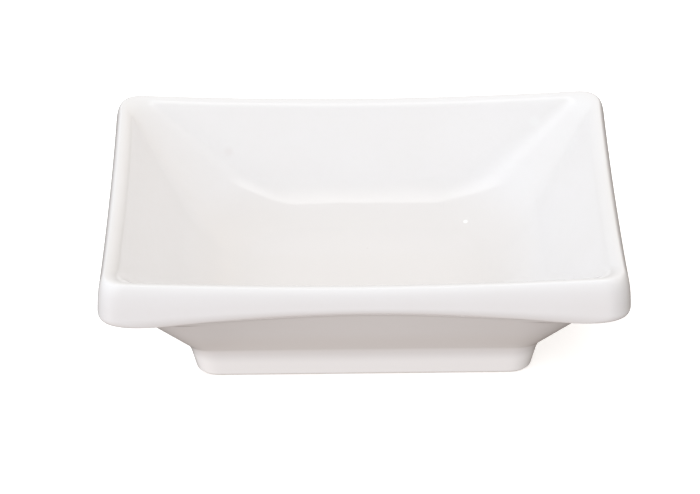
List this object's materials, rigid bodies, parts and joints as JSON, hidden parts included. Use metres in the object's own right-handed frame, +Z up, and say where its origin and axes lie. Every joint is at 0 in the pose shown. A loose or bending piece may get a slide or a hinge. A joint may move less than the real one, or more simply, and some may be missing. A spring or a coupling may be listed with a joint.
{
  "type": "soy sauce dish",
  "caption": "Small rectangular porcelain dish with a flared well, a thick rounded lip with raised corners, and a glazed body standing on a rectangular foot ring.",
  "frame": {"origin": "centre of the bounding box at its bottom, which is the middle of the foot on the table plane", "axes": "+X along the long side, +Y to the back, +Z up"},
  "size_m": [0.0954, 0.0702, 0.028],
  "materials": {
    "porcelain_bare": "matte fired porcelain",
    "glaze_white": "clear gloss glaze over white porcelain"
  },
  "bodies": {
    "root": {"bowl_body": "porcelain_bare", "foot_ring": "porcelain_bare", "glaze_coat": "glaze_white", "base_glaze": "glaze_white"}
  },
  "joints": []
}
